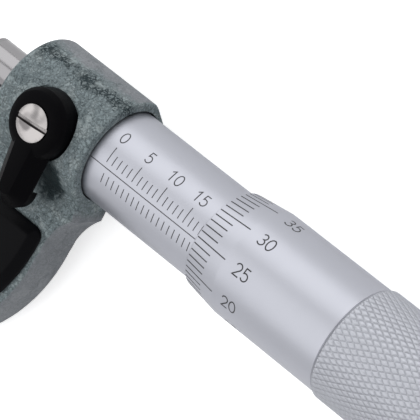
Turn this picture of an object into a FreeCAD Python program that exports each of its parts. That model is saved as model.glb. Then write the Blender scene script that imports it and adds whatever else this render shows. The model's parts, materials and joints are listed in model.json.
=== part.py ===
import FreeCAD, Part
import math
import os

# Outside micrometer for 0 to 25 mm, lying on its back. Sizes in millimetres.
# It is drawn flat: X runs along the spindle from the anvil to the ratchet, Y lies in the plane of the
# bow and points away from it, Z points out of the front. The origin is the middle of the anvil's face.
# Last of all, every piece is turned about X by the few degrees at which the tool lies.

# measuring
READING = 18.24             # gap between the two measuring faces, as drawn
ZERO_TICK_PAST = 2.75       # the sleeve's zero line, from the barrel's end
RANGE = 25.0                # largest gap that can be measured

# fits and gaps
SLIDE_FIT = 0.02            # radial, spindle in its guide and nut, sleeve on its core
TURN_FIT = 0.05             # radial, stud and knob on their seats
THIMBLE_GAP = 0.10          # radial, thimble over the sleeve
FACE_GAP = 0.05             # axial, between pieces that turn against each other
RIM_GAP = 0.25              # radial, dark ring between the frame and the sleeve

# spindle
SPINDLE_R = 3.175
TIP_LENGTH = 0.9            # hard metal at each measuring face
TIP_CHAMFER = 0.25
THREAD_R = 3.9
TAPER_LENGTH = 7.0
TAPER_END_R = 3.4
TAPER_INSET = 0.5           # taper's end, inside the thimble's web

# frame
FRAME_HALF = 4.0            # half of the bow's thickness
FRAME_EDGE = 1.0            # rounding along the bow's edges
BOW_STEP = 2.4              # barrel's end past the bow's right side
BOW_Y = -17.5               # centre height of the bow's outer round
BOW_R = 28.95
THROAT_Y = -16.5            # centre height of the inner round
HEEL_R = 10.0               # hollow between the bow and the barrel's end
BARREL_R = 8.8
BARREL_X = 27.05            # end that faces the anvil
BARREL_LENGTH = 17.85
BARREL_ROUND = 1.3
BARREL_EDGE = 0.35
BARREL_FLAT = 8.15          # flat on the barrel's upper back, from the axis
BARREL_FLAT_TURN = 130.5    # degrees from the front towards the top
BLEND_R = 1.2               # hollow where the barrels meet the bow
ANVIL_BARREL_R = 6.3
ANVIL_BARREL_ROUND = 1.6

# anvil
ANVIL_R = SPINDLE_R
ANVIL_REACH = 3.0           # out of the frame, hard tip included
ANVIL_DEPTH = 9.0           # into the frame

# sleeves
SLEEVE_R = 7.237
SLEEVE_WALL = 1.0
SLEEVE_PAST = 2.6           # sleeve's length past the last line
SLEEVE_SEAT = 1.6           # how far the sleeve goes into the barrel
KEY_HOLE_R = 0.75           # for the pin spanner, at the back of the sleeve
KEY_HOLE_X = 6.0            # past the zero line
CORE_SHANK_R = 5.4
CORE_SHANK_LENGTH = 12.2
GUIDE_PAST = 0.7            # guide bore's end, past the counterbore's floor
CORE_BORE_GAP = 0.4         # thread's free space inside the core
NUT_X = 22.4                # nut thread's start, past the zero line
NUT_LENGTH = 14.6
NOSE_R = 5.2
NOSE_SLIT = 0.5
ADJUSTER_R = 6.6
ADJUSTER_LENGTH = 5.5
ADJUSTER_INSET = 2.2        # from the nose's end
ADJUSTER_NOTCH = 1.2
ADJUSTER_NOTCH_FLOOR = 0.4  # above the nose

# thimble
THIMBLE_R = 8.5
THIMBLE_LIP_R = 7.71
BEVEL_LENGTH = 5.8
PLAIN_LENGTH = 24.32        # thimble's edge to the knurl
GROOVE_WIDTH = 0.35
GROOVE_DEPTH = 0.3
KNURL_R = 8.825
KNURL_LENGTH = 20.5
KNURL_CHAMFER = 0.4
TAIL_LENGTH = 1.2           # plain end behind the knurl
TAIL_R = 8.1
WEB_THICKNESS = 6.0         # wall that grips the spindle's taper
STEM_RECESS = 2.0           # from the thimble's end to that wall

# ratchet end
STEM_R = 2.0
STEM_THREAD_R = 1.5
STEM_THREAD_LENGTH = 9.0
STEM_FLANGE_R = 4.0
STEM_FLANGE_LENGTH = 3.4
KNOB_R = 5.6
KNOB_LENGTH = 15.2
KNOB_GAP = 0.3              # thimble to knob
KNOB_WALL = 1.2
KNOB_FLOOR = 2.6
KNOB_FLOOR_INSET = 2.6      # depth of the end recess
KNOB_CHAMFER = 0.5
CLUTCH_LENGTH = 1.5
SPRING_WIRE = 0.6
SPRING_TURNS = 4
KNOB_SCREW_R = 3.3
KNOB_SCREW_HEAD = 1.5
KNOB_SCREW_THREAD_R = 0.9
KNOB_SCREW_LENGTH = 5.0
SLOT_WIDTH = 0.7
SLOT_DEPTH = 0.6

# lock lever
LEVER_INSET = 8.15          # hub's centre, from the barrel's end
LEVER_Y = 0.5
LEVER_FLAT = 7.35           # height of the milled seat on the barrel
LEVER_SEAT_GAP = 0.25       # seat's radius past the hub
LEVER_LEAN = 3.0            # degrees, from straight down towards the ratchet
WASHER_THICKNESS = 0.15
WASHER_R = 4.2
HUB_R = 5.05
HUB_TOP = 11.4
HUB_TOP_R = 3.55
HUB_SIDE_TOP = 10.1
HUB_SHOULDER_R = 4.6
HUB_SHOULDER_TOP = 10.85
TAIL_REACH = 13.1           # from the hub's centre to the tip
TAIL_HALF_ROOT = 3.75
TAIL_HALF_END = 3.05
TAIL_BEVEL = 2.0
TAIL_SIDE = 1.6             # upright side below the bevel, at the tip
TAIL_STEP_R = 10.0          # the tail is cut back underneath inside this radius
TAIL_STEP_CLEAR = 0.25      # above the barrel
SCREW_HEAD_R = 2.72
SCREW_HEAD_RISE = 0.45      # above the hub
SCREW_HEAD_DOME = 0.25
SCREW_HEAD_HEIGHT = 1.5
SCREW_R = 1.25
SCREW_LENGTH = 4.0
SCREW_SLOT = 0.75
SCREW_SLOT_DEPTH = 0.42
SCREW_SLOT_TURN = 5.0       # degrees from the spindle's direction
STUD_R = 2.4
STUD_TOP_INSET = 0.2        # below the screw's head
PAD_GAP = 0.08              # to the spindle, lever open
PAD_LENGTH = 1.7

# grip plates
PLATE_THICKNESS = 1.8
PLATE_BEVEL = 1.3
PLATE_TOP_Y = -14.5
PLATE_RISE = 1.9            # centre of the outer edge's round, above the bow's
PLATE_MARGIN = 0.55         # outer edge's radius, short of the bow's
PLATE_INNER_MARGIN = 1.8    # to the throat
PLATE_CORNER = 1.6

# places that follow from the sizes
BARREL_END = BARREL_X + BARREL_LENGTH
ZERO_TICK_X = BARREL_END + ZERO_TICK_PAST
LEVER_X = BARREL_END - LEVER_INSET
THROAT_LEFT = -ANVIL_REACH
BOW_X = BARREL_END - BOW_STEP - BOW_R
PLATE_Y = BOW_Y + PLATE_RISE
PLATE_R = BOW_R - PLATE_MARGIN
BOW_LEFT = BOW_X - BOW_R
BOW_RIGHT = BOW_X + BOW_R
SEAT_X = BARREL_END - SLEEVE_SEAT
SLEEVE_END = ZERO_TICK_X + RANGE + SLEEVE_PAST
CORE_R = SLEEVE_R - SLEEVE_WALL - SLIDE_FIT
NUT_START = ZERO_TICK_X + NUT_X
NOSE_END = NUT_START + NUT_LENGTH
GUIDE_END = SEAT_X + GUIDE_PAST
THREAD_START = GUIDE_END + READING + CORE_BORE_GAP
THIMBLE_X = ZERO_TICK_X + READING
KNURL_X = THIMBLE_X + PLAIN_LENGTH
KNURL_END = KNURL_X + GROOVE_WIDTH + KNURL_LENGTH
THIMBLE_END = KNURL_END + TAIL_LENGTH
WEB_END = THIMBLE_END - STEM_RECESS
WEB_START = WEB_END - WEB_THICKNESS
THIMBLE_BORE = SLEEVE_R + THIMBLE_GAP
TAPER_END = WEB_END - TAPER_INSET
TAPER_START = TAPER_END - TAPER_LENGTH
FLANGE_END = WEB_END + STEM_FLANGE_LENGTH
KNOB_X = THIMBLE_END + KNOB_GAP
KNOB_END = KNOB_X + KNOB_LENGTH
KNOB_FLOOR_END = KNOB_END - KNOB_FLOOR_INSET
KNOB_FLOOR_START = KNOB_FLOOR_END - KNOB_FLOOR
KNOB_BORE = KNOB_R - KNOB_WALL
CLUTCH_START = FLANGE_END + FACE_GAP
CLUTCH_END = CLUTCH_START + CLUTCH_LENGTH
STEM_END = KNOB_FLOOR_END + FACE_GAP
HUB_BASE = LEVER_FLAT + WASHER_THICKNESS
SCREW_SEAT = HUB_TOP + SCREW_HEAD_RISE - SCREW_HEAD_HEIGHT
STUD_TOP = SCREW_SEAT - STUD_TOP_INSET
PAD_BOTTOM = SPINDLE_R + PAD_GAP
PAD_TOP = PAD_BOTTOM + PAD_LENGTH
TAIL_TOP = HUB_TOP


def vec(x, y=0.0, z=0.0):
    return FreeCAD.Vector(x, y, z)


def rod(radius, x0, x1):
    return Part.makeCylinder(radius, x1 - x0, vec(x0), vec(1))


def turned(profile):
    # profile: corners (x, radius) of a closed section, turned about the spindle's axis
    corners = [vec(x, radius) for x, radius in profile]
    section = Part.Face(Part.makePolygon(corners + corners[:1]))
    return section.revolve(vec(0), vec(1), 360)


def post(radius, z0, z1, x=LEVER_X, y=LEVER_Y):
    return Part.makeCylinder(radius, z1 - z0, vec(x, y, z0), vec(0, 0, 1))


def line(start, end):
    return Part.LineSegment(vec(*start), vec(*end)).toShape()


def arc(start, middle, end):
    return Part.Arc(vec(*start), vec(*middle), vec(*end)).toShape()


def slab(edges, z0, z1):
    face = Part.Face(Part.Wire(edges))
    face.translate(vec(0, 0, z0))
    return face.extrude(vec(0, 0, z1 - z0))


def edges_at_height(solid, z):
    # edges of a flat slab's outline that lie in the plane at height z
    return [edge for edge in solid.Edges if all(abs(v.Z - z) < 1e-6 for v in edge.Vertexes)]


def upright_edges(solid, sharp_at):
    # straight edges along Z whose place in plan is one of the listed corners
    found = []
    for edge in solid.Edges:
        low, high = edge.Vertexes[0].Point, edge.Vertexes[-1].Point
        if abs(low.z - high.z) < 1e-6:
            continue
        if any(math.hypot(low.x - x, low.y - y) < 1e-4 for x, y in sharp_at):
            found.append(edge)
    return found


def bow():
    # C-shaped plate: outer round, heel under the barrel, and the throat
    heel_x = BOW_RIGHT + HEEL_R
    heel_y = BOW_Y + math.sqrt(HEEL_R ** 2 - (heel_x - BARREL_END) ** 2)
    heel_mid = math.radians(180) - 0.5 * math.acos((heel_x - BARREL_END) / HEEL_R)
    heel = (heel_x + HEEL_R * math.cos(heel_mid), BOW_Y + HEEL_R * math.sin(heel_mid))
    throat_x = (THROAT_LEFT + BARREL_X) / 2
    throat_r = (BARREL_X - THROAT_LEFT) / 2
    edges = [
        line((BARREL_END, 0), (BARREL_END, heel_y)),
        arc((BARREL_END, heel_y), heel, (BOW_RIGHT, BOW_Y)),
        arc((BOW_RIGHT, BOW_Y), (BOW_X, BOW_Y - BOW_R), (BOW_LEFT, BOW_Y)),
        line((BOW_LEFT, BOW_Y), (BOW_LEFT, 0)),
        line((BOW_LEFT, 0), (THROAT_LEFT, 0)),
        line((THROAT_LEFT, 0), (THROAT_LEFT, THROAT_Y)),
        arc((THROAT_LEFT, THROAT_Y), (throat_x, THROAT_Y - throat_r), (BARREL_X, THROAT_Y)),
        line((BARREL_X, THROAT_Y), (BARREL_X, 0)),
        line((BARREL_X, 0), (BARREL_END, 0)),
    ]
    plate = slab(edges, -FRAME_HALF, FRAME_HALF)
    rims = edges_at_height(plate, FRAME_HALF) + edges_at_height(plate, -FRAME_HALF)
    rims = [edge for edge in rims if any(vertex.Y < -1e-6 for vertex in edge.Vertexes)]
    return plate.makeFillet(FRAME_EDGE, rims)


def rounded_barrel(radius, x0, x1, round0, round1):
    barrel = rod(radius, x0, x1)
    for x, size in ((x0, round0), (x1, round1)):
        ends = [edge for edge in barrel.Edges if all(abs(v.X - x) < 1e-6 for v in edge.Vertexes)]
        barrel = barrel.makeFillet(size, ends)
    return barrel


def barrel_flat():
    # block that takes the flat off the upper back of the barrel
    block = Part.makeBox(BARREL_LENGTH + 2, 2 * BARREL_R, BARREL_R)
    block.translate(vec(BARREL_X - 1, -BARREL_R, BARREL_FLAT))
    block.rotate(vec(0), vec(1), -BARREL_FLAT_TURN)
    return block


def blend(radius, x0, x1, side):
    # hollow strip that rounds the corner between a barrel and the bow's face on one side
    centre_z = FRAME_HALF + BLEND_R
    centre_y = -math.sqrt((radius + BLEND_R) ** 2 - centre_z ** 2)
    on_barrel = radius / (radius + BLEND_R)
    corner_y = -math.sqrt(radius ** 2 - FRAME_HALF ** 2)
    foot = (x0, centre_y, side * FRAME_HALF)
    touch = (x0, centre_y * on_barrel, side * centre_z * on_barrel)
    half_way = math.atan2(touch[1] - centre_y, centre_z - abs(touch[2])) / 2
    middle = (x0, centre_y + BLEND_R * math.sin(half_way), side * (centre_z - BLEND_R * math.cos(half_way)))
    inside = (x0, corner_y + BLEND_R, side * (FRAME_HALF - BLEND_R))
    section = Part.Face(Part.Wire([arc(foot, middle, touch), line(touch, inside), line(inside, foot)]))
    return section.extrude(vec(x1 - x0))


def frame():
    body = bow().fuse([
        rounded_barrel(BARREL_R, BARREL_X, BARREL_END, BARREL_ROUND, BARREL_EDGE),
        rounded_barrel(ANVIL_BARREL_R, BOW_LEFT, THROAT_LEFT, ANVIL_BARREL_ROUND, BARREL_EDGE),
    ])
    for side in (1, -1):
        body = body.fuse(blend(BARREL_R, BARREL_X + BARREL_ROUND, BARREL_END, side))
        body = body.fuse(blend(ANVIL_BARREL_R, BOW_LEFT + ANVIL_BARREL_ROUND, THROAT_LEFT, side))
    bores = [
        rod(SLEEVE_R + RIM_GAP, SEAT_X, BARREL_END + 1),
        rod(CORE_SHANK_R, SEAT_X - CORE_SHANK_LENGTH, BARREL_END),
        rod(SPINDLE_R + RIM_GAP, BARREL_X - 1, BARREL_END),
        rod(ANVIL_R, THROAT_LEFT - ANVIL_DEPTH, THROAT_LEFT + 1),
        post(HUB_R + LEVER_SEAT_GAP, LEVER_FLAT, HUB_TOP),
        post(STUD_R + TURN_FIT, SPINDLE_R, HUB_TOP),
        barrel_flat(),
    ]
    return body.cut(bores).removeSplitter()


def anvil():
    return rod(ANVIL_R, THROAT_LEFT - ANVIL_DEPTH, -TIP_LENGTH)


def measuring_tip(face_x, inward):
    # hard disc with a chamfered measuring face; inward is +1 or -1 along X, away from the face
    profile = [
        (face_x, 0),
        (face_x, SPINDLE_R - TIP_CHAMFER),
        (face_x + inward * TIP_CHAMFER, SPINDLE_R),
        (face_x + inward * TIP_LENGTH, SPINDLE_R),
        (face_x + inward * TIP_LENGTH, 0),
    ]
    return turned(profile)


def core_sleeve():
    bore = THREAD_R + CORE_BORE_GAP
    profile = [
        (SEAT_X - CORE_SHANK_LENGTH, SPINDLE_R + SLIDE_FIT),
        (SEAT_X - CORE_SHANK_LENGTH, CORE_SHANK_R),
        (SEAT_X, CORE_SHANK_R),
        (SEAT_X, CORE_R),
        (NUT_START, CORE_R),
        (NUT_START, NOSE_R),
        (NOSE_END, NOSE_R),
        (NOSE_END, THREAD_R + SLIDE_FIT),
        (NUT_START, THREAD_R + SLIDE_FIT),
        (NUT_START, bore),
        (GUIDE_END, bore),
        (GUIDE_END, SPINDLE_R + SLIDE_FIT),
    ]
    body = turned(profile)
    slit = Part.makeBox(NUT_LENGTH, 2 * NOSE_R, NOSE_SLIT, vec(NUT_START + NOSE_SLIT, 0, -NOSE_SLIT / 2))
    slits = []
    for turn in (0, 120, 240):
        one = slit.copy()
        one.rotate(vec(0), vec(1), turn)
        slits.append(one)
    return body.cut(slits + [post(STUD_R + TURN_FIT, 0, HUB_TOP)])


def adjusting_nut():
    x1 = NOSE_END - ADJUSTER_INSET
    x0 = x1 - ADJUSTER_LENGTH
    nut = rod(ADJUSTER_R, x0, x1).cut(rod(NOSE_R, x0, x1))
    notches = []
    for turn in (0, 90, 180, 270):
        notch = Part.makeBox(ADJUSTER_NOTCH, ADJUSTER_R, ADJUSTER_NOTCH)
        notch.translate(vec(x1 - ADJUSTER_NOTCH, NOSE_R + ADJUSTER_NOTCH_FLOOR, -ADJUSTER_NOTCH / 2))
        notch.rotate(vec(0), vec(1), turn)
        notches.append(notch)
    return nut.cut(notches)


def outer_sleeve():
    tube = rod(SLEEVE_R, SEAT_X + FACE_GAP, SLEEVE_END).cut(rod(SLEEVE_R - SLEEVE_WALL, SEAT_X, SLEEVE_END))
    key_hole = post(KEY_HOLE_R, -SLEEVE_R - 1, 0, ZERO_TICK_X + KEY_HOLE_X, 0)
    return tube.cut(key_hole)


def spindle():
    profile = [
        (READING + TIP_LENGTH, 0),
        (READING + TIP_LENGTH, SPINDLE_R),
        (THREAD_START, SPINDLE_R),
        (THREAD_START, THREAD_R),
        (TAPER_START, THREAD_R),
        (TAPER_END, TAPER_END_R),
        (TAPER_END, STEM_THREAD_R),
        (TAPER_END - STEM_THREAD_LENGTH, STEM_THREAD_R),
        (TAPER_END - STEM_THREAD_LENGTH, 0),
    ]
    return turned(profile)


def thimble():
    # the bore through the web follows the spindle's taper
    slope = (THREAD_R - TAPER_END_R) / TAPER_LENGTH
    profile = [
        (THIMBLE_X, THIMBLE_BORE),
        (THIMBLE_X, THIMBLE_LIP_R),
        (THIMBLE_X + BEVEL_LENGTH, THIMBLE_R),
        (KNURL_X, THIMBLE_R),
        (KNURL_X, THIMBLE_R - GROOVE_DEPTH),
        (KNURL_X + GROOVE_WIDTH, THIMBLE_R - GROOVE_DEPTH),
        (KNURL_X + GROOVE_WIDTH, KNURL_R - KNURL_CHAMFER),
        (KNURL_X + GROOVE_WIDTH + KNURL_CHAMFER, KNURL_R),
        (KNURL_END - KNURL_CHAMFER, KNURL_R),
        (KNURL_END, KNURL_R - KNURL_CHAMFER),
        (KNURL_END, TAIL_R),
        (THIMBLE_END - KNURL_CHAMFER, TAIL_R),
        (THIMBLE_END, TAIL_R - KNURL_CHAMFER),
        (THIMBLE_END, KNOB_R),
        (WEB_END, KNOB_R),
        (WEB_END, TAPER_END_R - slope * (WEB_END - TAPER_END)),
        (WEB_START, THREAD_R - slope * (WEB_START - TAPER_START)),
        (WEB_START, THIMBLE_BORE),
    ]
    return turned(profile)


def ratchet_stem():
    profile = [
        (TAPER_END - STEM_THREAD_LENGTH, 0),
        (TAPER_END - STEM_THREAD_LENGTH, STEM_THREAD_R),
        (WEB_END, STEM_THREAD_R),
        (WEB_END, STEM_FLANGE_R),
        (FLANGE_END, STEM_FLANGE_R),
        (FLANGE_END, STEM_R),
        (STEM_END, STEM_R),
        (STEM_END, KNOB_SCREW_THREAD_R),
        (STEM_END - KNOB_SCREW_LENGTH, KNOB_SCREW_THREAD_R),
        (STEM_END - KNOB_SCREW_LENGTH, 0),
    ]
    return turned(profile)


def clutch_disc():
    disc = rod(KNOB_BORE, CLUTCH_START, CLUTCH_END)
    return disc.cut(rod(STEM_R + TURN_FIT, CLUTCH_START, CLUTCH_END))


def clutch_spring():
    # a coil of round wire between the disc and the knob's floor
    space = KNOB_FLOOR_START - CLUTCH_END
    coil_r = (STEM_R + KNOB_BORE) / 2
    rise = space - SPRING_WIRE
    path = Part.makeHelix(rise / SPRING_TURNS, rise, coil_r)
    wire = Part.Wire([Part.makeCircle(SPRING_WIRE / 2, vec(coil_r), vec(0, 1))])
    coil = Part.Wire(path).makePipeShell([wire], True, True)
    coil.rotate(vec(0), vec(0, 1), 90)
    coil.translate(vec(CLUTCH_END + SPRING_WIRE / 2))
    return coil


def ratchet_knob():
    profile = [
        (KNOB_X, KNOB_BORE),
        (KNOB_X, KNOB_R - KNOB_CHAMFER),
        (KNOB_X + KNOB_CHAMFER, KNOB_R),
        (KNOB_END - KNOB_CHAMFER, KNOB_R),
        (KNOB_END, KNOB_R - KNOB_CHAMFER),
        (KNOB_END, KNOB_SCREW_R + RIM_GAP),
        (KNOB_FLOOR_END, KNOB_SCREW_R + RIM_GAP),
        (KNOB_FLOOR_END, STEM_R + TURN_FIT),
        (KNOB_FLOOR_START, STEM_R + TURN_FIT),
        (KNOB_FLOOR_START, KNOB_BORE),
    ]
    return turned(profile)


def knob_screw():
    head = rod(KNOB_SCREW_R, STEM_END, STEM_END + KNOB_SCREW_HEAD)
    shank = rod(KNOB_SCREW_THREAD_R, STEM_END - KNOB_SCREW_LENGTH, STEM_END)
    slot = Part.makeBox(SLOT_DEPTH, 2 * KNOB_SCREW_R, SLOT_WIDTH)
    slot.translate(vec(STEM_END + KNOB_SCREW_HEAD - SLOT_DEPTH, -KNOB_SCREW_R, -SLOT_WIDTH / 2))
    return head.fuse(shank).cut(slot).removeSplitter()


def about_lever(solid):
    # turns a piece drawn with the tail straight down to the lever's lean
    solid.rotate(vec(LEVER_X, LEVER_Y), vec(0, 0, 1), LEVER_LEAN)
    return solid


def turned_on_lever(profile):
    # profile: corners (radius, z) turned about the lever's axis
    corners = [vec(LEVER_X + radius, LEVER_Y, z) for radius, z in profile]
    section = Part.Face(Part.makePolygon(corners + corners[:1]))
    return section.revolve(vec(LEVER_X, LEVER_Y), vec(0, 0, 1), 360)


def lever_tail():
    end_y = LEVER_Y - TAIL_REACH + TAIL_HALF_END
    left, right = LEVER_X - TAIL_HALF_ROOT, LEVER_X + TAIL_HALF_ROOT
    end_left, end_right = LEVER_X - TAIL_HALF_END, LEVER_X + TAIL_HALF_END
    low = TAIL_TOP - TAIL_BEVEL - TAIL_SIDE
    edges = [
        line((left, LEVER_Y), (end_left, end_y)),
        arc((end_left, end_y), (LEVER_X, LEVER_Y - TAIL_REACH), (end_right, end_y)),
        line((end_right, end_y), (right, LEVER_Y)),
        line((right, LEVER_Y), (left, LEVER_Y)),
    ]
    tail = slab(edges, low, TAIL_TOP)
    rims = [edge for edge in edges_at_height(tail, TAIL_TOP)
            if any(vertex.Y < LEVER_Y - 1e-6 for vertex in edge.Vertexes)]
    tail = tail.makeChamfer(TAIL_BEVEL, rims)
    undercut = post(TAIL_STEP_R, low - 1, BARREL_R + TAIL_STEP_CLEAR)
    return tail.cut(undercut)


def lock_lever():
    hub = turned_on_lever([
        (0, HUB_BASE),
        (HUB_R, HUB_BASE),
        (HUB_R, HUB_SIDE_TOP),
        (HUB_SHOULDER_R, HUB_SHOULDER_TOP),
        (HUB_TOP_R, HUB_TOP),
        (0, HUB_TOP),
    ])
    lever = about_lever(hub.fuse(lever_tail()))
    lever = lever.cut(post(SCREW_HEAD_R + TURN_FIT, SCREW_SEAT, HUB_TOP + 1))
    lever = lever.cut(post(STUD_R, HUB_BASE - 1, STUD_TOP))
    return lever.cut(post(SCREW_R, STUD_TOP - 1, SCREW_SEAT)).removeSplitter()


def lever_screw():
    top = HUB_TOP + SCREW_HEAD_RISE
    rim = top - SCREW_HEAD_DOME
    dome_r = (SCREW_HEAD_R ** 2 + SCREW_HEAD_DOME ** 2) / (2 * SCREW_HEAD_DOME)
    dome = Part.makeSphere(dome_r, vec(LEVER_X, LEVER_Y, top - dome_r))
    head = post(SCREW_HEAD_R, SCREW_SEAT, rim).fuse(post(SCREW_HEAD_R, rim, top).common(dome))
    shank = post(SCREW_R, SCREW_SEAT - SCREW_LENGTH, SCREW_SEAT)
    slot = Part.makeBox(2 * SCREW_HEAD_R + 1, SCREW_SLOT, SCREW_SLOT_DEPTH + 1)
    slot.translate(vec(LEVER_X - SCREW_HEAD_R - 0.5, LEVER_Y - SCREW_SLOT / 2, top - SCREW_SLOT_DEPTH))
    slot.rotate(vec(LEVER_X, LEVER_Y), vec(0, 0, 1), SCREW_SLOT_TURN)
    return head.fuse(shank).cut(slot).removeSplitter()


def clamp_stud():
    stud = post(STUD_R, PAD_TOP, STUD_TOP)
    return stud.cut(post(SCREW_R, SCREW_SEAT - SCREW_LENGTH, STUD_TOP))


def clamp_pad():
    return post(STUD_R, PAD_BOTTOM, PAD_TOP - FACE_GAP)


def lever_washer():
    return post(WASHER_R, LEVER_FLAT, HUB_BASE - FACE_GAP).cut(post(STUD_R + TURN_FIT, 0, HUB_TOP))


def grip_plate(side):
    # bevelled crescent on the bow's front (side = 1) or back (side = -1)
    throat_x = (THROAT_LEFT + BARREL_X) / 2
    inner_r = (BARREL_X - THROAT_LEFT) / 2 + PLATE_INNER_MARGIN
    outer_dx = math.sqrt(PLATE_R ** 2 - (PLATE_TOP_Y - PLATE_Y) ** 2)
    inner_dx = math.sqrt(inner_r ** 2 - (PLATE_TOP_Y - THROAT_Y) ** 2)
    corners = [(BOW_X + outer_dx, PLATE_TOP_Y), (BOW_X - outer_dx, PLATE_TOP_Y),
               (throat_x - inner_dx, PLATE_TOP_Y), (throat_x + inner_dx, PLATE_TOP_Y)]
    edges = [
        arc(corners[0], (BOW_X, PLATE_Y - PLATE_R), corners[1]),
        line(corners[1], corners[2]),
        arc(corners[2], (throat_x, THROAT_Y - inner_r), corners[3]),
        line(corners[3], corners[0]),
    ]
    plate = slab(edges, FRAME_HALF, FRAME_HALF + PLATE_THICKNESS)
    plate = plate.makeFillet(PLATE_CORNER, upright_edges(plate, corners))
    plate = plate.makeChamfer(PLATE_BEVEL, edges_at_height(plate, FRAME_HALF + PLATE_THICKNESS))
    if side < 0:
        plate = plate.mirror(vec(0), vec(0, 0, 1))
    return plate


def lying_angle():
    # degrees about X at which the back plate's lower edge and the knurl stand on one level
    down = FRAME_HALF + PLATE_THICKNESS
    across = PLATE_R - PLATE_Y - PLATE_BEVEL
    return math.degrees(math.atan2(across, down) - math.acos(KNURL_R / math.hypot(across, down)))


pieces = {
    "frame": frame,
    "anvil": anvil,
    "anvil_tip": lambda: measuring_tip(0, -1),
    "inner_sleeve": core_sleeve,
    "adjusting_nut": adjusting_nut,
    "outer_sleeve": outer_sleeve,
    "spindle": spindle,
    "spindle_tip": lambda: measuring_tip(READING, 1),
    "thimble": thimble,
    "ratchet_stem": ratchet_stem,
    "clutch_disc": clutch_disc,
    "clutch_spring": clutch_spring,
    "ratchet_knob": ratchet_knob,
    "knob_screw": knob_screw,
    "lock_lever": lock_lever,
    "lever_screw": lever_screw,
    "clamp_stud": clamp_stud,
    "clamp_pad": clamp_pad,
    "lever_washer": lever_washer,
    "grip_plate_front": lambda: grip_plate(1),
    "grip_plate_back": lambda: grip_plate(-1),
}

os.makedirs("parts", exist_ok=True)
for name, make in pieces.items():
    solid = make()
    solid.rotate(vec(0), vec(1), lying_angle())
    solid.exportStep(f"parts/{name}.step")
    print(f"{name:18s} solids {len(solid.Solids)}  valid {solid.isValid()}  {solid.Volume:9.1f} mm3")
print(f"lies turned by {lying_angle():.3f} degrees")
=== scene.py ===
import json
import math
import bmesh
import bpy
import numpy as np
from mathutils import Matrix, Vector

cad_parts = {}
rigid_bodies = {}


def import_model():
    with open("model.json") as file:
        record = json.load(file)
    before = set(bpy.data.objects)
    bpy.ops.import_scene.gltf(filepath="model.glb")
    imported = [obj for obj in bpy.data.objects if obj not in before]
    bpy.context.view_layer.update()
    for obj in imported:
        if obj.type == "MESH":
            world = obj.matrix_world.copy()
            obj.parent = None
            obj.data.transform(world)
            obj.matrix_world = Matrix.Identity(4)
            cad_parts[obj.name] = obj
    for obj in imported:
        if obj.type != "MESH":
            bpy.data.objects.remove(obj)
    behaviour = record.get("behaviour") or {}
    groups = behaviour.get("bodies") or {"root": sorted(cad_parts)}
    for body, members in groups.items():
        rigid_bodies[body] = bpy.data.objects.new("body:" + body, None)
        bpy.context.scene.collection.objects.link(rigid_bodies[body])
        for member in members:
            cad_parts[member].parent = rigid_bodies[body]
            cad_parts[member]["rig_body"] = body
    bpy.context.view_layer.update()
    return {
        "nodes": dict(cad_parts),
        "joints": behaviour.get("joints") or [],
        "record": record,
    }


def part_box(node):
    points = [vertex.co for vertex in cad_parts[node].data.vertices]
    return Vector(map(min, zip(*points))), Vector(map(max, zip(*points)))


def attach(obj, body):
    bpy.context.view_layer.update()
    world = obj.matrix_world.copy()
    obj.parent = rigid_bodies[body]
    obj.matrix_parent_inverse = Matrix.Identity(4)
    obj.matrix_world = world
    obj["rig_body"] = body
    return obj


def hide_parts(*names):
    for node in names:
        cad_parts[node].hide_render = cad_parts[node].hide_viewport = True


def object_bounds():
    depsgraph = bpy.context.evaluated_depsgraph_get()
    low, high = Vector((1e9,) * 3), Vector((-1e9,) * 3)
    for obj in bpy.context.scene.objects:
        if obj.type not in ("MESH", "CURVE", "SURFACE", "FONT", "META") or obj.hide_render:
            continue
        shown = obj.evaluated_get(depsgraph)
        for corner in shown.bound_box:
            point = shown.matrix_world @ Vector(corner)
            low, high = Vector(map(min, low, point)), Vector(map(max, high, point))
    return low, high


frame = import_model()
mm = 0.001
print("micrometer: frame loaded")

leverTurn = next(joint for joint in frame["joints"] if joint["name"] == "lever_turn")
leverAxis, leverPlace = Vector(leverTurn["axis"]), Vector(leverTurn["pos_m"])
datum = -0.0163  # angle of the sleeve's long line, from straight up towards +Y
leftOf = {name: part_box(name)[0].x / mm for name in frame["nodes"]}
rightOf = {name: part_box(name)[1].x / mm for name in frame["nodes"]}


def addObject(name, data):
    # a new object at the origin, in the scene
    made = bpy.data.objects.new(name, data)
    bpy.context.scene.collection.objects.link(made)
    return made


def highestAlong(node, axis):
    # a node's furthest reach along an axis, in millimetres from the origin
    mesh = frame["nodes"][node].data
    points = np.empty(3 * len(mesh.vertices))
    mesh.vertices.foreach_get("co", points)
    return float((points.reshape(-1, 3) @ np.array(axis)).max()) / mm


def meshPiece(name, points, faces, body, finish, sharpDegrees=None):
    # points: n x 3 array in millimetres, in the frame's axes; without a sharp angle the faces stay flat
    mesh = bpy.data.meshes.new(name)
    mesh.from_pydata((points * mm).tolist(), [], faces)
    mesh.update()
    piece = addObject(name, mesh)
    mesh.materials.append(finish)
    if sharpDegrees:
        mesh.polygons.foreach_set("use_smooth", [True] * len(mesh.polygons))
        mesh.set_sharp_from_angle(angle=math.radians(sharpDegrees))
    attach(piece, body)
    return piece


def roundSpindle(along, angle, radius):
    # a point at a distance along the spindle, an angle from straight up towards +Y, and a radius
    along, angle, radius = np.broadcast_arrays(along, angle, radius)
    return np.stack([along, radius * np.sin(angle), radius * np.cos(angle)], -1)


def gridFaces(rows, columns, closeRows, closeColumns):
    # quads of a grid numbered row by row; closing joins the last row or column to the first
    i = np.arange(rows if closeRows else rows - 1)
    j = np.arange(columns if closeColumns else columns - 1)
    i, j = np.meshgrid(i, j, indexing="ij")
    nextI, nextJ = (i + 1) % rows, (j + 1) % columns
    corners = [i * columns + j, nextI * columns + j, nextI * columns + nextJ, i * columns + nextJ]
    return np.stack(corners, -1).reshape(-1, 4)


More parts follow.
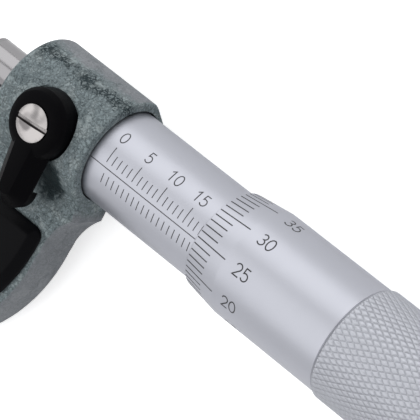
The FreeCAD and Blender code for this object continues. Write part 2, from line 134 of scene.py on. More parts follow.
def outwardFaces(rows, columns):
    # a closed grid's quads, rows along the spindle and columns round it, facing out of the metal
    return gridFaces(rows, columns, True, True)[:, ::-1].tolist()


def turnedRing(profile, segments):
    # closed outline of (along, radius) corners carried once round the spindle
    along, radius = np.array(profile, float).T
    turn = np.linspace(0, 2 * math.pi, segments, endpoint=False)
    points = roundSpindle(along[:, None], turn[None, :], radius[:, None])
    return points.reshape(-1, 3), outwardFaces(len(profile), segments)


def evenly(path, step, closed):
    # the same polyline with points no further apart than a step
    path = np.asarray(path, float)
    if closed:
        path = np.vstack([path, path[:1]])
    parts = []
    for start, end in zip(path[:-1], path[1:]):
        count = max(1, int(math.ceil(np.linalg.norm(end - start) / step)))
        parts.append(start + (end - start) * (np.arange(count) / count)[:, None])
    return np.vstack(parts + ([] if closed else [path[-1:]]))


def strokeBand(path, width, closed):
    # two edges of a band: each point moved half the width along the mean normal of its two runs
    if closed:
        ahead, behind = np.roll(path, -1, 0) - path, path - np.roll(path, 1, 0)
    else:
        ahead = np.vstack([np.diff(path, axis=0), path[-1:] - path[-2:-1]])
        behind = np.vstack([path[1:2] - path[:1], np.diff(path, axis=0)])
    ahead /= np.linalg.norm(ahead, axis=1)[:, None]
    behind /= np.linalg.norm(behind, axis=1)[:, None]
    normal = np.stack([-(ahead + behind)[:, 1], (ahead + behind)[:, 0]], -1)
    normal /= np.linalg.norm(normal, axis=1)[:, None]
    cosHalf = np.clip((normal * np.stack([-ahead[:, 1], ahead[:, 0]], -1)).sum(1), 0.5, 1)[:, None]
    return path + normal * width / 2 / cosHalf, path - normal * width / 2 / cosHalf


engraving = {"step": 0.3, "above": 0.008, "below": 0.03}


def engrave(name, strokes, radiusAt, body, finish):
    # every stroke is a thin band on the round surface with four corners across, from just below to just above it
    # stroke: (path of (along, round) in millimetres, width, closed); radiusAt gives the surface's radius
    allPoints, allFaces, count = [], [], 0
    above, below = engraving["above"], -engraving["below"]
    for path, width, closed in strokes:
        path = evenly(path, engraving["step"], closed)
        left, right = strokeBand(path, width, closed)
        section = []
        for edge, lift in ((left, above), (left, below), (right, below), (right, above)):
            radius = radiusAt(edge[:, 0])
            section.append(roundSpindle(edge[:, 0], edge[:, 1] / radius + datum, radius + lift))
        points = np.stack(section, 1).reshape(-1, 3)
        faces = gridFaces(len(path), 4, closed, True).tolist()
        if not closed:
            last = 4 * (len(path) - 1)
            faces += [[0, 1, 2, 3], [last + 3, last + 2, last + 1, last]]
        allFaces += [[corner + count for corner in face] for face in faces]
        allPoints.append(points)
        count += len(points)
    return meshPiece(name, np.vstack(allPoints), allFaces, body, finish)


def bow(centreX, centreY, radiusX, radiusY, start, end):
    # points of an ellipse's arc, about one for each 12 degrees; angles in degrees from +X
    turn = np.radians(np.linspace(start, end, max(4, int(abs(end - start) / 12))))
    return np.stack([centreX + radiusX * np.cos(turn), centreY + radiusY * np.sin(turn)], -1)


figureMiddle = (0.31, 0.5)


def figureStrokes(digit):
    # single-line figures, 0 to 5, in a box 0.62 wide and 1 high: list of (path, closed)
    if digit == "0":
        return [(bow(0.31, 0.5, 0.29, 0.49, 0, 348), True)]
    if digit == "1":
        return [([(0.12, 0.76), (0.38, 0.99), (0.38, 0.0)], False)]
    if digit == "2":
        neck = bow(0.31, 0.70, 0.27, 0.28, 165, -38)
        return [(np.vstack([neck, [(0.03, 0.01), (0.60, 0.01)]]), False)]
    if digit == "3":
        upper = bow(0.30, 0.745, 0.23, 0.235, 150, -90)
        lower = bow(0.30, 0.265, 0.28, 0.255, 90, -155)
        return [(np.vstack([upper, lower[1:]]), False)]
    if digit == "4":
        return [([(0.45, 0.0), (0.45, 0.99), (0.02, 0.28), (0.62, 0.28)], False)]
    belly = bow(0.29, 0.32, 0.29, 0.31, 128, -150)
    return [(np.vstack([[(0.54, 0.99), (0.14, 0.99)], belly]), False)]


def number(text, centreAlong, centreRound, height, width, spacing):
    # figures side by side along the spindle, their tops towards growing angle
    strokes = []
    for place, digit in enumerate(text):
        shift = (place - (len(text) - 1) / 2) * spacing
        for path, closed in figureStrokes(digit):
            path = (np.asarray(path) - figureMiddle) * height
            strokes.append((path + (centreAlong + shift, centreRound), width, closed))
    return strokes


class Wire:
    # one value in a shader tree; arithmetic on it adds Math nodes
    def __init__(self, finish, socket):
        self.finish, self.socket = finish, socket

    def maths(self, operation, *values):
        return self.finish.node("ShaderNodeMath", {"operation": operation}, dict(enumerate(values)))

    def __add__(self, other): return self.maths("ADD", self, other)
    def __radd__(self, other): return self.maths("ADD", other, self)
    def __sub__(self, other): return self.maths("SUBTRACT", self, other)
    def __rsub__(self, other): return self.maths("SUBTRACT", other, self)
    def __mul__(self, other): return self.maths("MULTIPLY", self, other)
    def __rmul__(self, other): return self.maths("MULTIPLY", other, self)
    def __abs__(self): return self.maths("ABSOLUTE", self)
    def atLeast(self, other): return self.maths("MAXIMUM", self, other)


class Finish:
    # a material and the tree behind its Principled shader; constants are set on the shader's own sockets
    def __init__(self, name, **constants):
        self.material = bpy.data.materials.new(name)
        self.material.use_nodes = True
        self.tree = self.material.node_tree
        self.shader = self.tree.nodes["Principled BSDF"]
        for socket, value in constants.items():
            self.shader.inputs[socket.replace("_", " ")].default_value = value

    def node(self, kind, settings=None, inputs=None, output=0):
        made = self.tree.nodes.new(kind)
        for key, value in (settings or {}).items():
            setattr(made, key, value)
        for key, value in (inputs or {}).items():
            if isinstance(value, Wire):
                self.tree.links.new(value.socket, made.inputs[key])
            else:
                made.inputs[key].default_value = value
        return Wire(self, made.outputs[output])

    def place(self, scale=(1, 1, 1), turn=(0, 0, 0)):
        # object coordinates in millimetres, then scaled and turned
        coordinates = self.node("ShaderNodeTexCoord", output=3)
        return self.node("ShaderNodeMapping", None, {"Vector": coordinates, "Rotation": turn,
                                                     "Scale": tuple(along / mm for along in scale)})

    def noise(self, place, scale, detail, roughness=0.5, distortion=0.0):
        return self.node("ShaderNodeTexNoise", None, {"Vector": place, "Scale": scale, "Detail": detail,
                                                      "Roughness": roughness, "Distortion": distortion})

    def ramp(self, value, stops):
        # eased change from the third number to the fourth as the value goes from the first to the second
        return self.node("ShaderNodeMapRange", {"clamp": True, "interpolation_type": "SMOOTHSTEP"},
                         {"Value": value, "From Min": stops[0], "From Max": stops[1],
                          "To Min": stops[2], "To Max": stops[3]})

    def vector(self, operation, *values):
        # a length or a dot product comes out of the node's second socket
        output = 1 if operation in ("LENGTH", "DOT_PRODUCT") else 0
        return self.node("ShaderNodeVectorMath", {"operation": operation}, dict(enumerate(values)), output)

    def blend(self, factor, colourA, colourB):
        return self.node("ShaderNodeMix", {"data_type": "RGBA"}, {0: factor, 6: colourA, 7: colourB}, 2)

    def feed(self, **wires):
        for socket, wire in wires.items():
            self.tree.links.new(wire.socket, self.shader.inputs[socket.replace("_", " ")])

    def relief(self, height, distance):
        # bump whose full height is a distance in millimetres
        bump = self.node("ShaderNodeBump", None, {"Height": height, "Distance": distance * mm, "Strength": 1.0})
        self.feed(Normal=bump)


def rgb(red, green, blue):
    return (red, green, blue, 1.0)


# noises: scale, detail, roughness and distortion
# the band along the barrel and the oval patch beside the lock lever are painted shade and a painted shadow
paint = {
    "light": rgb(0.295, 0.341, 0.348), "mid": rgb(0.236, 0.285, 0.298), "dark": rgb(0.012, 0.024, 0.028),
    "side": rgb(0.235, 0.243, 0.262), "relief": 0.12, "fineDark": 1.4, "lineDark": 0.42,
    "blotch": (0.42, 4.0, 0.6, 0.5), "wrinkle": (1.1, 2.0, 0.5, 0.7), "cloud": (0.2, 3.0, 0.55, 0.5),
    "crease": (2.3, 2.0, 0.5, 0.8), "fine": (3.4, 4.0, 0.75), "netScale": 1.25, "netWarp": (1.1, 1.1, 1.1),
    "warpScale": 1.3, "warpDetail": 3.0, "blotchVein": 0.02, "wrinkleVein": 0.032, "bowFrom": (9.2, 11.0),
    "shadeBandAngle": 58.5, "shadeBandWidth": 2.1, "shadeBandWander": 5, "shadeBandFrom": (6.0, 7.5), "shadeBandDark": 0.4,
    "shadeBandLines": 0.22, "leverShadowAt": (39.2, -7.3, 5.4), "leverShadowSize": (3.3, 4.0, 4.4)}


def hammeredPaint():
    # colour = blotches of two greys, darkened where a warped noise is low, along the thin lines where it crosses
    # its middle, in a broken net of cracks and in small pits; some faces are smoother and greyer; a dark, cracked
    # band of painted shade runs along the barrel, and a painted shadow of the lock lever lies beside the lever
    finish = Finish("hammeredPaint", Coat_Weight=0.03, Coat_Roughness=0.3, Specular_IOR_Level=0.2)
    at = finish.place()
    blotch, wrinkle, cloud, crease, fine = (
        finish.noise(at, *paint[name]) for name in ("blotch", "wrinkle", "cloud", "crease", "fine"))
    warp = finish.node("ShaderNodeTexNoise", None,
                       {"Vector": at, "Scale": paint["warpScale"], "Detail": paint["warpDetail"]}, 1)
    net = finish.node("ShaderNodeTexVoronoi", {"feature": "DISTANCE_TO_EDGE"}, {
        "Vector": finish.vector("MULTIPLY_ADD", warp, paint["netWarp"], at), "Scale": paint["netScale"]})

    # the smoother faces: the bow's sides, and the barrel's side away from the grip
    normal = finish.node("ShaderNodeTexCoord", output=1)
    fromSpindle = finish.vector("LENGTH", finish.vector("MULTIPLY", at, (0, 1, 1)))
    onBow = finish.ramp(fromSpindle, (*paint["bowFrom"], 0.0, 1.0))
    facingUp = abs(finish.vector("DOT_PRODUCT", normal, (0, 0, 1))) + (blotch - 0.5) * 0.5
    facingBack = finish.vector("DOT_PRODUCT", normal, (0, 1, 0)) + (blotch - 0.5) * 0.15
    side = finish.ramp(facingBack, (0.93, 0.99, 0.0, 1.0)) * (1 - onBow) \
        + finish.ramp(facingUp, (0.74, 0.56, 0.0, 1.0)) * onBow

    # the band of painted shade, with darker cracks, which wanders either side of one line along the barrel
    shadeBandTurn = math.radians(paint["shadeBandAngle"])
    across = finish.vector("DOT_PRODUCT", at, (0, math.cos(shadeBandTurn), -math.sin(shadeBandTurn)))
    outward = finish.vector("DOT_PRODUCT", at, (0, math.sin(shadeBandTurn), math.cos(shadeBandTurn)))
    across = across + (blotch - 0.5) * paint["shadeBandWander"]
    shadeBand = finish.ramp(abs(across), (0.2, paint["shadeBandWidth"], 1.0, 0.0)) \
        * finish.ramp(outward, (*paint["shadeBandFrom"], 0.0, 1.0))

    # painted shadow of the lock lever: an oval patch with a ragged edge
    fromLeverShadow = finish.vector("DIVIDE", finish.vector("SUBTRACT", at, paint["leverShadowAt"]), paint["leverShadowSize"])
    leverShadow = finish.ramp(finish.vector("LENGTH", fromLeverShadow) + (wrinkle - 0.5) * 0.9, (1.3, 0.7, 0.0, 1.0))

    def veins(noise, width):
        return finish.ramp(abs(noise - 0.5), (0.0, width, 1.0, 0.0))

    pale = finish.ramp(blotch, (0.47, 0.62, 0.0, 1.0))
    deep = finish.ramp(cloud * 0.5 + blotch * 0.5, (0.5, 0.34, 0.05, 0.5))
    cracks = finish.ramp(net, (0.16, 0.04, 0.0, 1.0)) * finish.ramp(cloud, (0.42, 0.55, 0.3, 1.0))
    lines = veins(blotch, paint["blotchVein"]).atLeast(veins(wrinkle, paint["wrinkleVein"])).atLeast(cracks)
    lines = lines * (1 - side * 0.2)
    pits = finish.ramp(crease, (0.44, 0.34, 0.0, 0.26))
    shade = deep.atLeast(shadeBand * paint["shadeBandDark"]) + lines * (paint["lineDark"] + shadeBand * paint["shadeBandLines"]) \
        + pits + (0.5 - fine) * paint["fineDark"]
    # the lever's painted shadow darkens the paint over everything else
    shade = (shade * (1 - side * 0.5)).atLeast(leverShadow)
    base = finish.blend(pale, paint["mid"], paint["light"])
    base = finish.blend(side * 0.85, base, paint["side"])
    finish.feed(Base_Color=finish.blend(shade, base, paint["dark"]), Roughness=0.4 + fine * 0.3)
    finish.relief(blotch * 0.8 + wrinkle * 0.8 * (1 - side * 0.5) + fine * 0.6 - lines * 0.6, paint["relief"])
    return finish.material


chrome = {"colour": rgb(0.455, 0.463, 0.508), "smoothest": 0.35, "ringScale": (14, 0.25, 0.25),
          "cloudScale": 0.35, "gritScale": 11.0, "relief": 0.004}


def satinChrome():
    # roughness = a base, more along thin rings round the spindle and in soft clouds; relief = rings and grit
    finish = Finish("satinChrome", Metallic=1.0, Base_Color=chrome["colour"])
    rings = finish.noise(finish.place(chrome["ringScale"]), 1.0, 3.0, 0.6)
    clouds = finish.noise(finish.place(), chrome["cloudScale"], 2.0)
    grit = finish.noise(finish.place(), chrome["gritScale"], 2.0, 0.6)
    finish.feed(Roughness=chrome["smoothest"] + rings * 0.05 + clouds * 0.05)
    finish.relief(rings * 0.4 + grit * 0.6, chrome["relief"])
    return finish.material


# groove is the colour of the painted shade below the knurl's crests
knurlSteel = {"colour": rgb(0.47, 0.48, 0.52), "groove": rgb(0.2, 0.205, 0.22), "gritScale": 3.6,
              "speckScale": 2.4, "smoothest": 0.3, "relief": 0.05}


def knurledChrome(name, outer, depth):
    # colour = chrome, darkened by grit, in specks, and with depth below the crests as painted shade in the grooves
    finish = Finish(name, Metallic=1.0)
    at = finish.place()
    grit = finish.noise(at, knurlSteel["gritScale"], 5.0, 0.75)
    radius = finish.vector("LENGTH", finish.vector("MULTIPLY", at, (0, 1, 1)))
    # painted shade: darker with depth below the crests
    low = finish.ramp(radius - (grit - 0.5) * 0.06, (outer - depth * 0.4, outer - depth, 0.0, 0.3))
    specks = finish.ramp(finish.noise(at, knurlSteel["speckScale"], 2.0), (0.66, 0.74, 0.0, 0.4))
    shade = low.atLeast(specks) + (0.5 - grit) * 0.5
    finish.feed(Base_Color=finish.blend(shade, knurlSteel["colour"], knurlSteel["groove"]),
                Roughness=knurlSteel["smoothest"] + grit * 0.22)
    finish.relief(grit, knurlSteel["relief"])
    return finish.material


steel = {"colour": rgb(0.31, 0.303, 0.31), "smoothest": 0.1, "ringScale": (22, 0.4, 0.4),
         "markScale": (0.3, 5, 5), "relief": 0.004}


def groundSteel():
    # roughness = a base, more along fine rings round the spindle and in a few lengthwise handling marks
    finish = Finish("groundSteel", Metallic=1.0, Base_Color=steel["colour"])
    rings = finish.noise(finish.place(steel["ringScale"]), 1.0, 4.0, 0.7)
    marks = finish.ramp(finish.noise(finish.place(steel["markScale"]), 1.0, 2.0), (0.62, 0.72, 0.0, 1.0))
    finish.feed(Roughness=steel["smoothest"] + rings * 0.12 + marks * 0.1)
    finish.relief(rings, steel["relief"])
    return finish.material


carbide = {"colour": rgb(0.28, 0.275, 0.28), "smoothest": 0.18, "cloudScale": 1.5}


def hardMetal():
    # lapped grey carbide: roughness = a base, more in faint clouds
    finish = Finish("hardMetal", Metallic=1.0, Base_Color=carbide["colour"])
    clouds = finish.noise(finish.place(), carbide["cloudScale"], 3.0)
    finish.feed(Roughness=carbide["smoothest"] + clouds * 0.14)
    return finish.material


# slotFrom: how far below the screw's top the painted shade begins and is full; shadedSide and otherShadedSide: how
# far from the slot's middle that painted shade turns black, to either side
nickel = {"colour": rgb(0.46, 0.437, 0.43), "smudge": rgb(0.2, 0.19, 0.19), "slotShade": rgb(0.02, 0.018, 0.018),
          "waveScale": 0.45, "scratchScale": (0.6, 9, 1), "scratchTurn": (0.0, 0.0, 0.5), "gritScale": 5.0,
          "smoothest": 0.14, "relief": 0.012, "slotTurn": 5.0, "slotFrom": (0.27, 0.37),
          "shadedSide": (0.1, 0.18), "otherShadedSide": (0.26, 0.34)}


def slotAcross():
    # the direction across the lever screw's slot
    turn = math.radians(nickel["slotTurn"])
    return leverAxis.cross(Vector((math.cos(turn), math.sin(turn), 0))).normalized()


def brightNickel(name, slotTop=None):
    # colour = buffed nickel with soft dark smudges; in a slot, grainy grey painted shade that is black along both
    # foot lines;
    # roughness = a base, more in the smudges' waves and in fine scratches across
    finish = Finish(name, Metallic=1.0)
    at = finish.place()
    scratches = finish.noise(finish.place(nickel["scratchScale"], nickel["scratchTurn"]), 1.0, 4.0, 0.7)
    waves = finish.noise(at, nickel["waveScale"], 1.0, 0.4)
    colour = finish.blend(finish.ramp(waves, (0.54, 0.76, 0.0, 1.0)), nickel["colour"], nickel["smudge"])
    if slotTop:
        across = slotAcross()
        fromMiddle = finish.vector("DOT_PRODUCT", at, across) - across.dot(leverPlace) / mm
        height = finish.vector("DOT_PRODUCT", at, leverAxis)
        grit = finish.noise(at, nickel["gritScale"], 3.0, 0.7)
        deep = finish.ramp(height, (*(slotTop - depth for depth in nickel["slotFrom"]), 0.0, 1.0))
        # painted shade deep in the slot, grainy, then black along both foot lines
        colour = finish.blend(deep * grit * 0.9, colour, nickel["slotShade"])
        cornered = finish.ramp(0 - fromMiddle, (*nickel["shadedSide"], 0.0, 1.0)).atLeast(
            finish.ramp(fromMiddle, (*nickel["otherShadedSide"], 0.0, 0.8)))
        colour = finish.blend(deep * cornered, colour, nickel["slotShade"])
    finish.feed(Base_Color=colour, Roughness=nickel["smoothest"] + waves * 0.12 + scratches * 0.1)
    finish.relief(scratches * 0.5 + waves * 2, nickel["relief"])
    return finish.material


leverBlack = {"colour": rgb(0.0022, 0.0021, 0.0027), "smoothest": 0.36, "grain": 0.006, "gloss": 0.028}
gripBlack = {"colour": rgb(0.003, 0.003, 0.0038), "smoothest": 0.32, "grain": 0.008, "gloss": 0.05}


def blackPlastic(name, moulded):
    # moulded skin: roughness = a base, more in clouds; fine grain in relief
    finish = Finish(name, Base_Color=moulded["colour"], Specular_IOR_Level=moulded["gloss"])
    clouds = finish.noise(finish.place(), 0.5, 3.0)
    skin = finish.noise(finish.place(), 7.0, 3.0, 0.6)
    finish.feed(Roughness=moulded["smoothest"] + clouds * 0.12)
    finish.relief(skin, moulded["grain"])
    return finish.material


brass = {"colour": rgb(0.66, 0.47, 0.2), "smoothest": 0.22, "ringScale": (12, 0.5, 0.5)}


def turnedBrass():
    # roughness = a base, more along thin rings across the spindle's direction
    finish = Finish("turnedBrass", Metallic=1.0, Base_Color=brass["colour"])
    rings = finish.noise(finish.place(brass["ringScale"]), 1.0, 3.0)
    finish.feed(Roughness=brass["smoothest"] + rings * 0.16)
    return finish.material


inkFill = {"colour": rgb(0.025, 0.025, 0.028), "worn": rgb(0.075, 0.075, 0.08), "wearScale": 2.0}


def engravedInk():
    # colour = dark filling, a little lighter in worn patches
    finish = Finish("engravedInk", Roughness=0.6)
    wear = finish.ramp(finish.noise(finish.place(), inkFill["wearScale"], 3.0), (0.45, 0.75, 0.0, 0.5))
    finish.feed(Base_Color=finish.blend(wear, inkFill["colour"], inkFill["worn"]))
    return finish.material


finishes = {
    "hammered_paint": hammeredPaint(),
    "satin_chrome": satinChrome(),
    "ground_steel": groundSteel(),
    "hard_metal": hardMetal(),
    "nickel": brightNickel("brightNickel"),
    "black_plastic": blackPlastic("blackLever", leverBlack),
    "black_grip": blackPlastic("blackGrip", gripBlack),
    "brass": turnedBrass(),
}
ink = engravedInk()
slottedNickel = brightNickel("slottedNickel", highestAlong("lever_screw", leverAxis))
print("micrometer: finishes made")


# CAD nodes keep their shape and take the record's material
for part in frame["record"]["subparts"]:
    frame["nodes"][part["node"]].data.materials[0] = finishes[part["material_slot"]]


softEdges = {"lock_lever": 0.22, "grip_plate_front": 0.3, "grip_plate_back": 0.3, "lever_screw": 0.07}
rounding = {"merge": 0.002, "flatDegrees": 1.0, "sharpDegrees": 28, "segments": 3}


def softened(node, radius):
    # a merged copy of the CAD mesh whose edges are rounded by a bevel, as moulding or tumbling leaves them
    source = frame["nodes"][node]
    mesh = source.data.copy()
    mesh.name = node + "Soft"
    edit = bmesh.new()
    edit.from_mesh(mesh)
    bmesh.ops.remove_doubles(edit, verts=edit.verts, dist=rounding["merge"] * mm)
    bmesh.ops.dissolve_limit(edit, angle_limit=math.radians(rounding["flatDegrees"]), verts=edit.verts,
                             edges=edit.edges)
    edit.to_mesh(mesh)
    edit.free()
    piece = addObject(node + "Soft", mesh)
    mesh.polygons.foreach_set("use_smooth", [True] * len(mesh.polygons))
    bevel = piece.modifiers.new("round", "BEVEL")
    bevel.width, bevel.segments, bevel.limit_method = radius * mm, rounding["segments"], "ANGLE"
    bevel.angle_limit = math.radians(rounding["sharpDegrees"])
    bevel.harden_normals = True
    if node == "lever_screw":
        mesh.materials[0] = slottedNickel
    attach(piece, source["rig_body"])
    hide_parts(node)


for node, radius in softEdges.items():
    softened(node, radius)
print("micrometer: moulded pieces rounded")


# lengths in millimetres; webHole and taperBore are the two ends of the taper, bore is the room for the sleeve;
# bevelDrops and tailStep: the middle points of a rounding, under the drum and in from the end's corner
thimble = {"edge": leftOf["thimble"], "end": rightOf["thimble"], "lipRadius": 7.71, "lipChamfer": (0.05, 0.03),
           "drumRadius": 8.5, "bevel": 5.8, "bevelRound": 0.3, "bevelDrops": (0.041, 0.008), "plain": 24.32,
           "groove": 0.35, "line": 0.06, "lineDepth": 0.06, "lineChamfer": 0.05, "bore": 7.337, "web": 6.0,
           "webHole": 3.4, "taperBore": 3.9, "recess": 2.0, "knobRoom": 5.6, "mouthChamfer": 0.1,
           "tailRadius": 8.1, "tailRound": 0.3, "tailStep": (0.08, 0.1), "segments": 240}
thimbleKnurl = {"radius": 8.825, "core": 8.05, "length": 20.5, "chamfer": 0.4, "depth": 0.15, "round": 60,
                "helix": 28.0, "samples": 10, "land": 0.15}


def thimbleDrum():
    # outline: lip, bevel, drum, groove, seat under the knurl, end face, recess, web and bore
    t = thimble
    edge, end, radius, tail = t["edge"], t["end"], t["drumRadius"], t["tailRadius"]
    bevelEnd, webEnd = edge + t["bevel"], end - t["recess"]
    knurlStart = edge + t["plain"] + t["groove"]
    knurlEnd = knurlStart + thimbleKnurl["length"]
    neck, lineStart = radius - t["lineDepth"], knurlStart - t["line"]
    profile = [
        (edge, t["bore"]), (edge, t["lipRadius"] - t["lipChamfer"][1]),
        (edge + t["lipChamfer"][0], t["lipRadius"]), (bevelEnd - t["bevelRound"], radius - t["bevelDrops"][0]),
        (bevelEnd, radius - t["bevelDrops"][1]), (bevelEnd + t["bevelRound"], radius),
        (lineStart - t["lineChamfer"], radius), (lineStart, radius - t["lineChamfer"]),
        (lineStart, neck), (knurlStart, neck), (knurlStart + 0.01, tail), (knurlEnd, tail),
        (end - t["tailRound"], tail), (end - t["tailStep"][0], tail - t["tailStep"][1]),
        (end, tail - t["tailRound"]),
        (end, t["knobRoom"] + t["mouthChamfer"]), (end - t["mouthChamfer"], t["knobRoom"]),
        (webEnd, t["knobRoom"]), (webEnd, t["webHole"]), (webEnd - t["web"], t["taperBore"]),
        (webEnd - t["web"], t["bore"]),
    ]
    points, faces = turnedRing(profile, t["segments"])
    drum = meshPiece("thimbleDrum", points, faces, "thimble_body", finishes["satin_chrome"], sharpDegrees=20)
    return drum


def diamondKnurl(name, start, length, knurl, body):
    # radius = outer less a V-groove wherever either of two crossing helices is near; the grid's steps are a
    # whole fraction of a diamond, so every groove runs along corners of the grid
    outer, depth, chamfer, samples = knurl["radius"], knurl["depth"], knurl["chamfer"], knurl["samples"]
    pitchRound = 2 * math.pi * outer / knurl["round"]
    pitchAlong = pitchRound / math.tan(math.radians(knurl["helix"]))
    rows = int(round(length / (pitchAlong / samples)))
    columns = knurl["round"] * samples
    i, j = np.meshgrid(np.arange(rows + 1), np.arange(columns), indexing="ij")
    near = [np.abs(helix - np.round(helix)) for helix in ((i + j) / samples, (i - j) / samples)]
    groove = np.maximum(*[np.clip(1 - distance / knurl["land"], 0, 1) for distance in near])
    along = length * i / rows
    chamfered = np.clip(np.minimum(along, length - along) / chamfer, 0, 1)
    radius = np.minimum(outer - depth * groove, outer - chamfer * (1 - chamfered) * 0.9)
    turn = 2 * math.pi * np.arange(columns) / columns
    skin = roundSpindle(start + along, turn[None, :], radius)
    ends = [roundSpindle(x, turn, knurl["core"]) for x in (start + length, start)]
    points = np.concatenate([skin, np.stack(ends)]).reshape(-1, 3)
    return meshPiece(name, points, outwardFaces(rows + 3, columns), body,
                     knurledChrome(name + "Chrome", outer, depth), sharpDegrees=40)


drum = thimbleDrum()
grip = diamondKnurl("thimbleGrip", thimble["edge"] + thimble["plain"] + thimble["groove"], thimbleKnurl["length"],
                    thimbleKnurl, "thimble_body")
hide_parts("thimble")
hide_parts("thimble")
print("micrometer: thimble turned and knurled")


# a mark's two ends, and figureRound, are angles in radians from the long line
sleeveMarks = {"zero": 47.65, "count": 25, "radius": 7.237, "start": 44.95, "last": 75.15, "line": 0.13,
               "short": (0.099, 0.306), "long": (0.099, 0.436), "half": (-0.316, -0.112), "figureRound": 0.682,
               "figureShift": -0.1, "figureHeight": 1.75, "figureSpacing": 1.38, "figureLine": 0.16}


def sleeveScale():
    # a long line along the sleeve, millimetres above it and halves below it, a figure at every fifth
    s = sleeveMarks

    def mark(x, ends):
        return [(x, end * s["radius"]) for end in ends], s["line"], False

    strokes = [([(s["start"], 0), (s["last"], 0)], s["line"], False)]
    for whole in range(s["count"] + 1):
        x = s["zero"] + whole
        strokes.append(mark(x, s["long"] if whole % 5 == 0 else s["short"]))
        if whole < s["count"]:
            strokes.append(mark(x + 0.5, s["half"]))
        if whole % 5 == 0:
            strokes += number(str(whole), x + s["figureShift"], s["figureRound"] * s["radius"], s["figureHeight"],
                              s["figureLine"], s["figureSpacing"])
    marks = engrave("sleeveScale", strokes, lambda along: np.full(len(along), s["radius"]), "sleeve_body", ink)


thimbleMarks = {"count": 50, "atDatum": 24.2, "corners": 8, "inset": 0.15, "short": 3.3, "long": 5.75,
                "line": 0.17, "figureAlong": 9.0, "figureHeight": 1.85, "figureSpacing": 1.42,
                "figureLine": 0.19}


def thimbleScale():
    # lines on the bevel, every fifth longer and with its figure on the drum behind it
    d, t = thimbleMarks, thimble

    def radiusAt(along):
        rise = np.clip((along - t["edge"]) / t["bevel"], 0, 1)
        return t["lipRadius"] + (t["drumRadius"] - t["lipRadius"]) * rise

    strokes = []
    for mark in range(d["count"]):
        turn = (mark - d["atDatum"]) * 2 * math.pi / d["count"]
        turn -= 2 * math.pi * round(turn / (2 * math.pi))
        reach = d["long"] if mark % 5 == 0 else d["short"]
        along = t["edge"] + np.linspace(d["inset"], d["inset"] + reach, d["corners"])
        strokes.append((np.stack([along, turn * radiusAt(along)], -1), d["line"], False))
        if mark % 5 == 0:
            strokes += number(str(mark), t["edge"] + d["figureAlong"], turn * t["drumRadius"],
                              d["figureHeight"], d["figureLine"], d["figureSpacing"])
    marks = engrave("thimbleScale", strokes, radiusAt, "thimble_body", ink)


sleeveScale()
thimbleScale()
print("micrometer: scales engraved")


# lengths in millimetres; endMiddle: the end rounding's middle point, in from the end and from the radius
knob = {"radius": 5.6, "bore": 4.4, "mouthChamfer": 0.3, "collar": 2.0, "collarChamfer": 0.2, "rim": 1.5,
        "rimChamfer": 0.15, "endRound": 0.5, "endMiddle": 0.15, "seat": 5.15, "recess": 2.6, "floor": 2.6,
        "hole": 3.55, "holeChamfer": 0.15, "stem": 2.05, "segments": 160}
knobKnurl = {"radius": 5.6, "core": 5.05, "gap": 0.1, "chamfer": 0.3, "depth": 0.13, "round": 52, "helix": 30.0,
             "samples": 8, "land": 0.2}


def ratchetKnob():
    # outline: mouth, plain collar, seat under the knurl, rounded end, screw recess, floor and bore
    k, start, end, radius = knob, leftOf["ratchet_knob"], rightOf["ratchet_knob"], knob["radius"]
    collarEnd, rimStart = start + k["collar"], end - k["rim"]
    floorEnd = end - k["recess"]
    floorStart = floorEnd - k["floor"]
    profile = [
        (start, k["bore"]), (start, radius - k["mouthChamfer"]), (start + k["mouthChamfer"], radius),
        (collarEnd - k["collarChamfer"], radius), (collarEnd, radius - k["collarChamfer"]), (collarEnd, k["seat"]),
        (rimStart, k["seat"]), (rimStart, radius - k["rimChamfer"]), (rimStart + k["rimChamfer"], radius),
        (end - k["endRound"], radius), (end - k["endMiddle"], radius - k["endMiddle"]),
        (end, radius - k["endRound"]),
        (end, k["hole"] + k["holeChamfer"]), (end - k["holeChamfer"], k["hole"]), (floorEnd, k["hole"]),
        (floorEnd, k["stem"]), (floorStart, k["stem"]), (floorStart, k["bore"]),
    ]
    points, faces = turnedRing(profile, k["segments"])
    body = meshPiece("knobBody", points, faces, "knob_body", finishes["satin_chrome"], sharpDegrees=20)
    knurlStart, knurlEnd = collarEnd + knobKnurl["gap"], rimStart - knobKnurl["gap"]
    skin = diamondKnurl("knobGrip", knurlStart, knurlEnd - knurlStart, knobKnurl, "knob_body")
    for piece in (body, skin):
        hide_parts("ratchet_knob")


ratchetKnob()
print("micrometer: ratchet knob knurled")


# strengths: the room, the floor's glow to the camera, and the share of that glow which reflections see
stageLight = {"world": 0.7, "sky": rgb(0.985, 0.99, 1.0), "floorGlow": 0.6, "mirrored": 0.1, "floorHalf": 1.6,
              "floorColour": rgb(0.95, 0.95, 0.955)}
lamps = {
    "overhead": dict(azimuth=-145, elevation=62, distance=0.9, size=(1.0, 1.0), radiance=0.78),
    "farSide": dict(azimuth=121, elevation=28, distance=0.9, size=(1.2, 0.8), radiance=1.0),
    "nearSide": dict(azimuth=-116, elevation=14, distance=0.9, size=(0.9, 0.4), radiance=0.22),
}
lampAim = Vector((0.05, 0, 0))


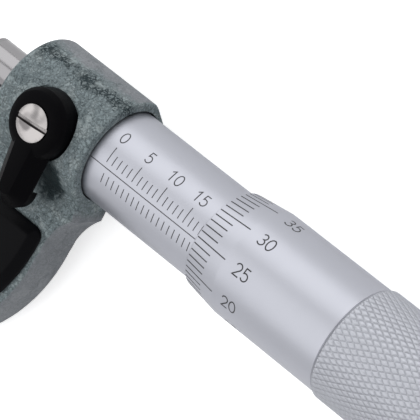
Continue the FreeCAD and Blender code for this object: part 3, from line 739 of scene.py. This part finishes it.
def stageFloor():
    # pale floor under the tool; a little glow for the camera and for reflections lifts it to white
    half, low = stageLight["floorHalf"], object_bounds()[0].z
    mesh = bpy.data.meshes.new("paleFloor")
    corners = [(-half, -half, low), (half, -half, low), (half, half, low), (-half, half, low)]
    mesh.from_pydata(corners, [], [(0, 1, 2, 3)])
    floor = addObject("paleFloor", mesh)
    finish = Finish("paleFloor", Roughness=0.9, Base_Color=stageLight["floorColour"], Specular_IOR_Level=0.0,
                    Emission_Strength=1.0)
    fromCamera, fromGloss, fromGlass = (finish.node("ShaderNodeLightPath", output=index) for index in (0, 3, 6))
    seen = fromCamera.atLeast(fromGloss.atLeast(fromGlass) * stageLight["mirrored"])
    finish.feed(Emission_Color=seen * stageLight["floorGlow"])
    mesh.materials.append(finish.material)


def softLamp(name, azimuth, elevation, distance, size, radiance):
    # an oblong lamp that faces the tool, its angles in degrees; power = radiance x pi x area
    az, el = math.radians(azimuth), math.radians(elevation)
    away = Vector((math.cos(el) * math.cos(az), math.cos(el) * math.sin(az), math.sin(el)))
    lamp = bpy.data.lights.new(name, "AREA")
    lamp.shape, lamp.size, lamp.size_y = "RECTANGLE", size[0], size[1]
    lamp.energy = radiance * math.pi * size[0] * size[1]
    facing = away.to_track_quat("Z", "Y").to_matrix().to_4x4()
    holder = addObject(name, lamp)
    holder.matrix_world = Matrix.Translation(lampAim + away * distance) @ facing


for name, settings in lamps.items():
    softLamp(name, **settings)

world = bpy.data.worlds.new("room")
world.use_nodes = True
room = world.node_tree.nodes["Background"].inputs
room["Color"].default_value, room["Strength"].default_value = stageLight["sky"], stageLight["world"]
bpy.context.scene.world = world
bpy.context.scene.view_settings.view_transform = "Standard"
stageFloor()

# place in millimetres, turn in degrees, lens and sensor in millimetres, clip in metres
view = {"place": (249.696, 117.429, 346.259), "turn": (1.4916, 32.4931, 34.2875), "lens": 257.143,
        "sensor": 36.0, "clip": (0.01, 20.0)}
camera = bpy.data.cameras.new("camera")
camera.lens, camera.sensor_width = view["lens"], view["sensor"]
camera.clip_start, camera.clip_end = view["clip"]
stand = addObject("camera", camera)
stand.location = Vector(view["place"]) * mm
stand.rotation_euler = [math.radians(angle) for angle in view["turn"]]
bpy.context.scene.camera = stand
print("micrometer: stage set")
